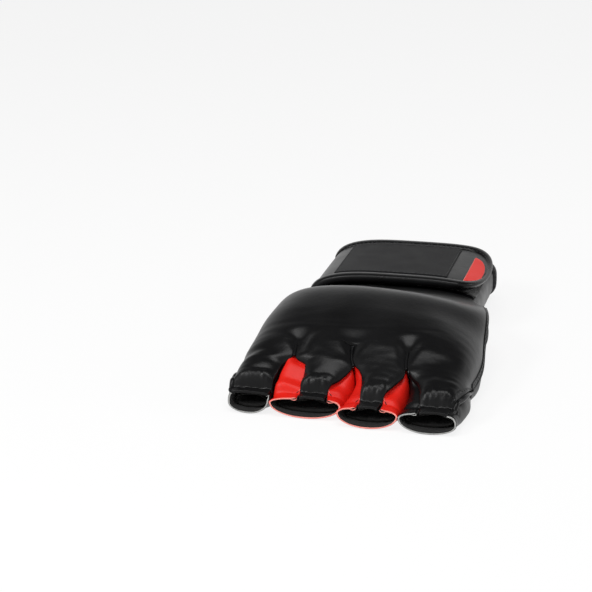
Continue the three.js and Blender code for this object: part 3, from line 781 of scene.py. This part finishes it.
def stall_shape(stall):
    """Functions of one stall, along running from 0 at its mouth to 1 at the bending line."""
    high = profile(
        (0, 12.6), (0.12, 13.2), (0.175, 13.6), (0.22, 16.8), (0.27, 19.6), (0.34, 21.4), (0.42, 22.7),
        (0.62, stall["shoulder"]), (1, stall["height"]),
    )
    tops = [arch_share(x) for x in (stall["left"](1), stall["right"](1))]
    if stall["outer"] < 0:
        tops[0] = 0
    if stall["outer"] > 0:
        tops[1] = 1
    mouth_y = stall["mouth_y"] - 1.5

    def y_at(a):
        return mix(mouth_y, FLEX_Y, a)

    def tongue(s, a, deep=0.0):
        y = y_at(a)
        left, right = stall["left"](a), stall["right"](a)
        middle, half = (left + right) / 2, (right - left) / 2
        dents = 0.35 * math.exp(-(((a - 0.40) / 0.040) ** 2)) + 1.5 * math.exp(-(((a - 0.18) / 0.024) ** 2))
        top = high(a) - dents * (1 - 0.5 * abs(s))
        outer = (stall["outer"] < 0 and s < 0) or (stall["outer"] > 0 and s > 0)
        own_edge = high(a) - mix(1.0, 6.5 if outer else 4.0, ease(0.12, 0.4, a))
        merged = ease(stall["crotch"] - 2.0, stall["crotch"] + 1.5, y)
        edge_z = own_edge if outer else mix(own_edge, valley_floor(y), merged)
        power = mix(4.5, 2.3 if outer else 3.0, ease(0.2, 0.6, a))
        x = middle + (half - 0.4 * deep) * s
        z = top - deep - (top - edge_z) * abs(s) ** power
        root = back(mix(tops[0], tops[1], (s + 1) / 2), y, deep)
        near = ease(0.64 - 0.36 * (s * s if outer else 0), 1, a)
        x, z = mix(x, root[0], near), mix(z, root[2], near)
        worn = (1 - near) * (1 - abs(s) ** 4)
        z += worn * 0.35 * crinkle(x, y * 2.2, 0, 7, 4.0)
        gathers = crinkle(x * 1.5, y * 0.6, 0, 2.8, 6.0) + 0.6 * crinkle(x, y * 1.8, 0, 3.4, 8.0)
        z += worn * 0.55 * gathers * ease(0.42, 0.30, a) * ease(0.03, 0.14, a)
        return x, y, z

    def foot(a):
        root_left, root_right, left, right = stall["feet"]
        bow = foot_bow(y_at(a))
        left = mix(left, root_left, a) + stall["bow"][0] * bow
        right = mix(right, root_right, a) + stall["bow"][1] * bow
        return left, (left + right) / 2, right

    return y_at, tongue, foot


def make_stall(name, stall):
    y_at, tongue, foot = stall_shape(stall)
    skin, cut = (RED, RED_RAW) if stall["red"] else (BLACK, BLACK_RAW)
    body = ("shell", f"{name}_stall", spot(0, FLEX_Y, 10), spot(0, FLEX_Y - 11, 10))

    def rows(v):
        return v**1.25

    def cover_place(u, v, w):
        return tongue(mix(-1, 1, u), rows(v), LEATHER * w)

    cover = slab(f"{name}_tongue", 26, 56, cover_place, TURNED_SHEET, butts=lambda u, v: v > 0.9999)
    give(cover, [f"{name}_cover"], body)

    def wall(t, a, deep):
        """A point of the sleeve, from one edge of the tongue (t = 0) round below to the other (t = 1)."""
        left_foot, middle, right_foot = foot(a)
        on_left = t < 0.5
        side_sign = 1 if on_left else -1
        q = t if on_left else 1 - t
        edge = tongue(-1 if on_left else 1, a, 0)
        toe = left_foot if on_left else right_foot
        outer = (stall["outer"] < 0 and on_left) or (stall["outer"] > 0 and not on_left)
        curl = 0 if outer else stall["curl"] * (1 - ease(0.10, 0.30, a))
        tuck = mix(1.2, -0.5, curl)
        inset = side_sign * deep
        edge_x, edge_z = edge[0], edge[2]
        hooked_x = profile((0, -3.4), (0.035, -1.2), (0.065, 0), (0.10, -1.4), (0.14, -3.0))
        hooked_z = profile((0, -2.0), (0.035, -2.4), (0.065, -1.3), (0.10, -0.3), (0.14, -0.6))
        plain_x = profile((0, 0.5), (0.14, -0.2))
        at_mouth = ease(0.34, 0, a)
        plain_z = profile((0, -0.9), (0.14, mix(-3.2, -0.5, at_mouth)))
        start_x = mix(plain_x(q), hooked_x(q), curl) + tuck
        start_z = mix(plain_z(q), hooked_z(q), curl)
        if q < 0.14:
            x, z = edge_x + side_sign * start_x, edge_z + start_z
            turn = ease(0.035, 0.10, q) if curl > 0.5 else 1
            return x + inset * mix(-0.4, 0.8, turn), z - deep * mix(-0.6, 0.5, turn)
        top_x = edge_x + side_sign * (mix(plain_x(0.14), hooked_x(0.14), curl) + tuck)
        top_z = edge_z + mix(plain_z(0.14), hooked_z(0.14), curl)
        toe_x = toe - side_sign * 0.22 * ease(0.2, 0.35, a)
        toe_z = mix(4.2, 5.8 if outer else 8.0, at_mouth)
        if q < 0.37:
            turn = (q - 0.14) / 0.23 * 90
            upright = stall["upright"] * (1 - curl) if on_left else 0
            c, s = rounded(turn, mix(mix(2.5, 1.9, curl), 6, upright))
            x = mix(toe_x, top_x, 1 - s)
            z = mix(toe_z, top_z + 4 * upright * s, c)
            return x + inset * mix(0.3, 1, s), z - deep * c
        share = (q - 0.37) / 0.13
        corner = math.sin(share * math.pi / 2)
        reach = abs(middle - toe_x)
        x = toe_x + side_sign * reach * (1 - math.cos(share * math.pi / 2))
        z = FLOOR_LIFT + (toe_z - FLOOR_LIFT) * (1 - corner) ** mix(1.6, 1.0, at_mouth)
        return x + inset * (1 - share), z + deep * mix(0.3, 1, share)

    def sleeve_place(u, v, w):
        a = rows(v)
        x, z = wall(u, a, 1.2 * w)
        y = y_at(a)
        under = math.sin(math.pi * u)
        flare = 1 - ease(0, 0.10, a)
        y -= flare * (2.6 * under**4 - 0.4)
        middle = foot(a)[1]
        bulge = 0.4 * crinkle(x, y, z, 8, 1.0) * ease(0.02, 0.2, a) + 0.5 * flare
        x += bulge * math.copysign(1, x - middle) * (1 - under**4)
        return x, y, z

    sleeve = slab(f"{name}_gussets", 72, 40, sleeve_place, [skin, cut, FLEECE])
    give(sleeve, [f"{name}_sleeve"], body)

    cavity = profile((0, 9.6), (0.2, 10.4), (0.45, 13.5), (1, stall["height"] - 13.5))

    def bag(u, v, w):
        a = mix(0.12, 0.995, v)
        left_foot, _, right_foot = foot(a)
        c, s = rounded(360 * u, mix(2.6, 2.1, ease(0.4, 0.1, a)))
        roof = cavity(a)
        edge_left, edge_right = tongue(-1, a)[0], tongue(1, a)[0]
        lean = ease(-0.2, 1, s)
        left = mix(left_foot + 2.4, max(edge_left + 2.2, left_foot + 2.4), lean)
        right = mix(right_foot - 2.4, min(edge_right - 2.2, right_foot - 2.4), lean)
        centre, half = (left + right) / 2, (right - left) / 2
        mid_z = (roof + 1.9) / 2
        return centre + (half - 0.8 * w) * c, y_at(a), mid_z + (roof - mid_z - 0.8 * w) * s

    sock = slab(f"{name}_fleece", 48, 26, bag, [FLEECE], joined=True)
    lining(sock, *stall["lining_cut"], [f"{name}_lining"], body)

    def stuffing(u, v, w):
        a = mix(0.27, 0.96, v)
        s = mix(-0.86, 0.86, u)
        x, y, z = tongue(s, a, LEATHER + 0.4)
        return x, y, mix(z, min(cavity(a) + 0.5, z - 0.6), w)

    pad = slab(f"{name}_padding", 12, 20, stuffing, [FOAM])
    give(pad, [f"{name}_foam"], body)
    return tongue, y_at, body


def make_stalls():
    made = {name: make_stall(name, stall) for name, stall in STALLS.items()}

    for name, end in (("little", -1), ("index", 1)):
        tongue, y_at, body = made[name]

        def edge_path(share, tongue=tongue, end=end):
            a = mix(0.02, 0.99, share)
            x, y, z = tongue(end, a)
            return x + end * 0.3, y, z - 0.9

        def fatness(share):
            return 0.5 + 0.3 * ease(0.5, 1, share) + 1.1 * ease(0, 0.1, share) * ease(1, 0.4, share)

        rope = roll(f"{name}_rolled_edge", 44, 10, cord_round(edge_path, fatness), [BLACK])
        give(rope, (), body)

    tongue, y_at, body = made["index"]

    def band_edge(a):
        return mix(0.80, 0.985, ease(0.3, 1, a))

    def band(u, v, w):
        a = mix(0.2, 1, v)
        return tongue(mix(0.995, band_edge(a), u), a, 0.5 - 0.8 * (1 - w))

    give(slab("index_seam_band", 4, 40, band, [BLACK_SOFT]), (), body)

    def band_sewn(share):
        a = mix(0.22, 0.97, share)
        return tongue(mix(0.995, band_edge(a), 0.55), a, -0.45)

    give(stitches("index_seam_stitches", band_sewn, pitch=2.6, length=1.8, width=0.45), (), body)

    for name, end in (("ring", -1), ("ring", 1), ("middle", 1)):
        tongue, y_at, body = made[name]
        crotch = STALLS[name]["crotch"] if end < 0 or name == "middle" else -83

        def welt(share, tongue=tongue, end=end, y_at=y_at, crotch=crotch):
            a_far = (crotch + 1.5 - y_at(0)) / (FLEX_Y - y_at(0))
            a = mix(0.985, a_far, share)
            x, y, z = tongue(end, a)
            return x + end * 0.15, y, z - 0.1

        side_name = "left" if end < 0 else "right"
        rope = roll(f"{name}_{side_name}_welt", 24, 8, cord_round(welt, 0.9), [BLACK])
        give(rope, (), body)


# ---- Cuff and strap ----
CUFF_FRONT, CUFF_REAR, BINDING_WIDTH = 31, 114, 8
CUFF_HALF, CUFF_HALF_HEIGHT, CUFF_Z, CUFF_ROUND = 47.5, 14.2, 15.5, 3.4
STRAP_FRONT, STRAP_REAR = 36, 111
STRAP_MIDDLE, STRAP_HALF = 73.5, 37.5
STRAP_IN, STRAP_OUT = 3.6, 6.6
ROOT_ANGLE, BREAK_ANGLE, TIP_ANGLE = 172, 69, 30
TIP_FROM = BREAK_ANGLE - math.degrees(0.8 / CUFF_HALF)
TIP_ROUND = 2.1
FACE_INSET, EDGING_HALF, EDGE_SEAM_INSET = 4.4, 3.7, 6.3
PATCH_START, PATCH_END, PATCH_INSET, PATCH_SEAM = 128, BREAK_ANGLE + 2, 8.5, 1.4
PILE_FRONT, PILE_REAR, TIP_PILE_INSET = 43.5, 105, 8.8


def cuff_at(degrees, out):
    c, s = rounded(degrees, CUFF_ROUND)
    return (CUFF_HALF + out) * c, CUFF_Z + (CUFF_HALF_HEIGHT + out) * s


def in_degrees(length):
    return math.degrees(length / CUFF_HALF)


def tip_half(angle, inset):
    share = (TIP_FROM - angle) / (TIP_FROM - TIP_ANGLE - in_degrees(inset))
    share = min(max(share, 0), 1)
    return (STRAP_HALF - inset) * (1 - share**TIP_ROUND) ** (1 / TIP_ROUND)


def strap_edge_at(share, inset):
    """Angle and y of a point of the strap's edge: forward side, round the tip, and back to the root."""
    if share < 0.36:
        return mix(ROOT_ANGLE, TIP_FROM, share / 0.36), STRAP_FRONT + inset
    if share > 0.64:
        return mix(TIP_FROM, ROOT_ANGLE, (share - 0.64) / 0.36), STRAP_REAR - inset
    c, s = rounded(mix(-90, 90, (share - 0.36) / 0.28), TIP_ROUND)
    angle = TIP_FROM - (TIP_FROM - TIP_ANGLE - in_degrees(inset)) * c
    return angle, STRAP_MIDDLE + (STRAP_HALF - inset) * s


def make_cuff():
    def tube(u, v, w):
        x, z = cuff_at(360 * u, -3 * w)
        y = mix(CUFF_FRONT, CUFF_REAR - BINDING_WIDTH, v)
        fold = 0.35 * crinkle(x * 0.5, y * 1.6, z, 9, 3.0) * math.sin(math.pi * v)
        return x + fold * x / CUFF_HALF, y, z + fold * (z - CUFF_Z) / CUFF_HALF_HEIGHT

    give(slab("cuff_tube", 88, 22, tube, TURNED_SHEET, joined=True), ["cuff"])

    def hem(share, degrees):
        c, s = rounded(degrees, 3.0)
        x, z = cuff_at(360 * share, -1.5 + 2.8 * s)
        return x, CUFF_REAR - 3.85 + 3.85 * c, z

    give(roll("cuff_hem_tape", 88, 16, hem, [TAPE], ring=True), ["cuff_binding"])

    def join(u, v, w):
        pad = back(u, 33, LEATHER + 0.3)
        x, z = cuff_at(180 * (1 - u), -0.6)
        return mix(pad[0], x, v), 33 - 0.9 * v - 0.8 * w, mix(pad[2], z, v)

    give(slab("wrist_join_strip", 72, 4, join, [BLACK_SOFT]))

    def loop_place(u, v, w):
        x, z = cuff_at(mix(96, 24, u), mix(1.7, 0.2, w))
        return x, mix(PILE_FRONT, PILE_REAR, v), z

    give(slab("cuff_loop_pile", 30, 20, loop_place, [LOOPS]), ["loop_pad"])

    def hem_sewn(share):
        x, z = cuff_at(mix(-14, 194, share), 1.1)
        return x, CUFF_REAR - 6.6, z

    give(stitches("cuff_hem_stitches", hem_sewn))


def make_strap():
    peel = ("strap", "strap_end", spot(29, 70, 36.8), spot(39, 70, 36.8))

    def face(u, v, w):
        if u < 0.72:
            angle = mix(ROOT_ANGLE + 3, TIP_FROM, u / 0.72)
            half = STRAP_HALF - FACE_INSET
        else:
            turn = (u - 0.72) / 0.28
            end = TIP_ANGLE + in_degrees(FACE_INSET) + 0.3
            angle = mix(TIP_FROM, end, math.sin(turn * math.pi / 2))
            half = tip_half(angle, FACE_INSET)
        near_root = ease(168, 175, angle)
        out = mix(mix(STRAP_OUT, 3.2, near_root), mix(STRAP_IN, 0.6, near_root), w)
        puff = 0.5 * (1 - (2 * v - 1) ** 4) * (1 - w) * (1 - near_root)
        x, z = cuff_at(angle, out + puff)
        return x, STRAP_MIDDLE + mix(-1, 1, v) * half, z

    panel = slab("strap_leather", 72, 28, face, TURNED_SHEET)
    give(panel, ["strap_panel", "strap_tip"], peel)

    def edging(share, degrees):
        c, s = rounded(degrees, 2.7)
        angle, y = strap_edge_at(share, EDGING_HALF - EDGING_HALF * c)
        near_root = ease(168, 172, angle)
        x, z = cuff_at(angle, mix(5.4, 3.6, near_root) + mix(2.8, 2.4, near_root) * s)
        return x, y, z

    bound = roll("strap_edge_binding", 150, 16, edging, [EDGING])
    nodes = ["strap_binding_front", "strap_binding_rear", "strap_tip_binding"]
    give(bound, nodes, peel)

    def sewn(share):
        angle, y = strap_edge_at(mix(0.015, 0.985, share), EDGE_SEAM_INSET)
        x, z = cuff_at(angle, 7.5)
        return x, y, z

    give(stitches("strap_edge_stitches", sewn, pitch=2.8, length=1.9, width=0.4), (), peel)

    def root_fold(u, v, w):
        z = mix(21.8, 18.9, v)
        height = (z - CUFF_Z) / CUFF_HALF_HEIGHT
        out = mix(mix(0.75, 0.5, v), mix(0.35, 0.15, v), w)
        x = -CUFF_HALF * (1 - height**CUFF_ROUND) ** (1 / CUFF_ROUND) - out
        return x, mix(STRAP_FRONT + 1.5, CUFF_REAR - BINDING_WIDTH - 0.2, u), z

    opening = ("shell", "strap", spot(-CUFF_HALF, 70, 21.7), spot(-CUFF_HALF, 70, 19.1))
    give(slab("strap_root_fold", 36, 14, root_fold, [BLACK]), (), opening)

    def patch(u, v, w):
        x, z = cuff_at(mix(PATCH_START, PATCH_END, u), mix(7.6, 6.2, w))
        return x, mix(STRAP_FRONT + PATCH_INSET, STRAP_REAR - PATCH_INSET, v), z

    give(slab("strap_bare_patch", 40, 24, patch, [PATCH]), ["strap_patch"], "strap")

    def patch_sewn(share):
        start, end = PATCH_START - PATCH_SEAM, PATCH_END + PATCH_SEAM
        front = STRAP_FRONT + PATCH_INSET + PATCH_SEAM
        rear = STRAP_REAR - PATCH_INSET - PATCH_SEAM
        corners = [(start, front), (end, front), (end, rear), (start, rear)]
        leg = min(int(share * 4), 3)
        (a0, y0), (a1, y1) = corners[leg], corners[(leg + 1) % 4]
        t = share * 4 - leg
        x, z = cuff_at(mix(a0, a1, t), 7.65)
        return x, mix(y0, y1, t), z

    give(stitches("patch_stitches", patch_sewn, pitch=2.6, length=1.8), (), "strap")

    def corner(u, v, w):
        angle = mix(57.5, 40.5, math.sin(u * math.pi / 2))
        x, z = cuff_at(angle, mix(7.7, 6.3, w))
        half = 23 * math.cos(u * math.pi / 2) ** 0.8
        return x, mix(68, 64, u) + mix(-1, 1, v) * half, z

    red = slab("strap_red_corner", 24, 24, corner, [RED, RED_RAW])
    give(red, ["strap_accent"], "strap_end")

    def hook(u, v, w):
        x, z = cuff_at(mix(94, PATCH_END, u), mix(3.3, 2.1, w))
        return x, mix(PILE_FRONT, PILE_REAR, v), z

    give(slab("strap_hook_pile", 16, 20, hook, [HOOKS]), ["strap_hook_pad"], "strap")

    def tip_hook(u, v, w):
        end = TIP_ANGLE + in_degrees(TIP_PILE_INSET) + 0.4
        angle = mix(TIP_FROM - 2, end, math.sin(u * math.pi / 2))
        x, z = cuff_at(angle, mix(3.3, 2.1, w))
        return x, STRAP_MIDDLE + mix(-1, 1, v) * tip_half(angle, TIP_PILE_INSET), z

    give(slab("tip_hook_pile", 16, 20, tip_hook, [HOOKS]), ["tip_hook_pad"], "strap_end")


# ---- The table and the surroundings ----
SEEN_BY = ("Is Camera Ray", "Is Glossy Ray", "Is Transmission Ray")
TABLE_GLOW = 0.85  # share of the table's colour that is white whatever the light
ROOM_LIGHT = 0.17
BACKDROP_LOW, BACKDROP_HIGH = 0.25, 0.80  # steepness between which it fades out of reflections


def make_floor():
    bm = bmesh.new()
    bmesh.ops.create_grid(bm, x_segments=1, y_segments=1, size=6)
    ground = Finish("pale_table", Base_Color=(0.93, 0.93, 0.93, 1), Roughness=0.9, Specular_IOR_Level=0.1)
    glow = ground.add("ShaderNodeEmission", {}, {"Color": (1, 1, 1, 1), "Strength": 1.0})
    seen = [ground.add("ShaderNodeLightPath", output=ray) for ray in SEEN_BY]
    shown = (seen[0] + seen[1] + seen[2]) * TABLE_GLOW
    lit = Signal(ground, ground.shader.outputs[0])
    mixed = ground.add("ShaderNodeMixShader", {}, {0: shown, 1: lit, 2: glow})
    out = ground.tree.nodes["Material Output"]
    ground.tree.links.new(mixed.socket, out.inputs["Surface"])
    floor = piece_from("table_top", bm, [ground.material])


def make_surroundings():
    """A plain room, and a white backdrop that stands low behind and around the table."""
    world = bpy.data.worlds.new("studio")
    scene.world = world
    world.use_nodes = True
    tree = world.node_tree
    tree.nodes.clear()

    def node(kind, *inputs, **settings):
        made = tree.nodes.new(kind)
        for setting, value in settings.items():
            setattr(made, setting, value)
        for place, value in enumerate(inputs):
            if isinstance(value, bpy.types.NodeSocket):
                tree.links.new(value, made.inputs[place])
            elif value is not None:
                made.inputs[place].default_value = value
        return made.outputs[0]

    ray = tree.nodes.new("ShaderNodeLightPath").outputs
    towards = tree.nodes.new("ShaderNodeTexCoord").outputs["Generated"]
    parts = tree.nodes.new("ShaderNodeSeparateXYZ")
    tree.links.new(towards, parts.inputs[0])
    soft_edge = {"interpolation_type": "SMOOTHSTEP"}
    low = node("ShaderNodeMapRange", parts.outputs["Z"], BACKDROP_LOW, BACKDROP_HIGH, 1.0, 0.0, **soft_edge)
    mirrored = node("ShaderNodeMath", ray[SEEN_BY[1]], ray[SEEN_BY[2]], operation="ADD")
    facing = node("ShaderNodeMath", mirrored, low, operation="MULTIPLY")
    seen = node("ShaderNodeMath", ray[SEEN_BY[0]], facing, operation="ADD")
    room = node("ShaderNodeBackground", (1, 1, 1, 1), ROOM_LIGHT)
    backdrop = node("ShaderNodeBackground", (1, 1, 1, 1), 1.0)
    chosen = node("ShaderNodeMixShader", seen, room, backdrop)
    tree.links.new(chosen, tree.nodes.new("ShaderNodeOutputWorld").inputs["Surface"])


make_back()
make_sides()
make_side_seams()
make_stalls()
make_cuff()
make_strap()
make_floor()
make_surroundings()

scene.view_settings.view_transform = "Standard"
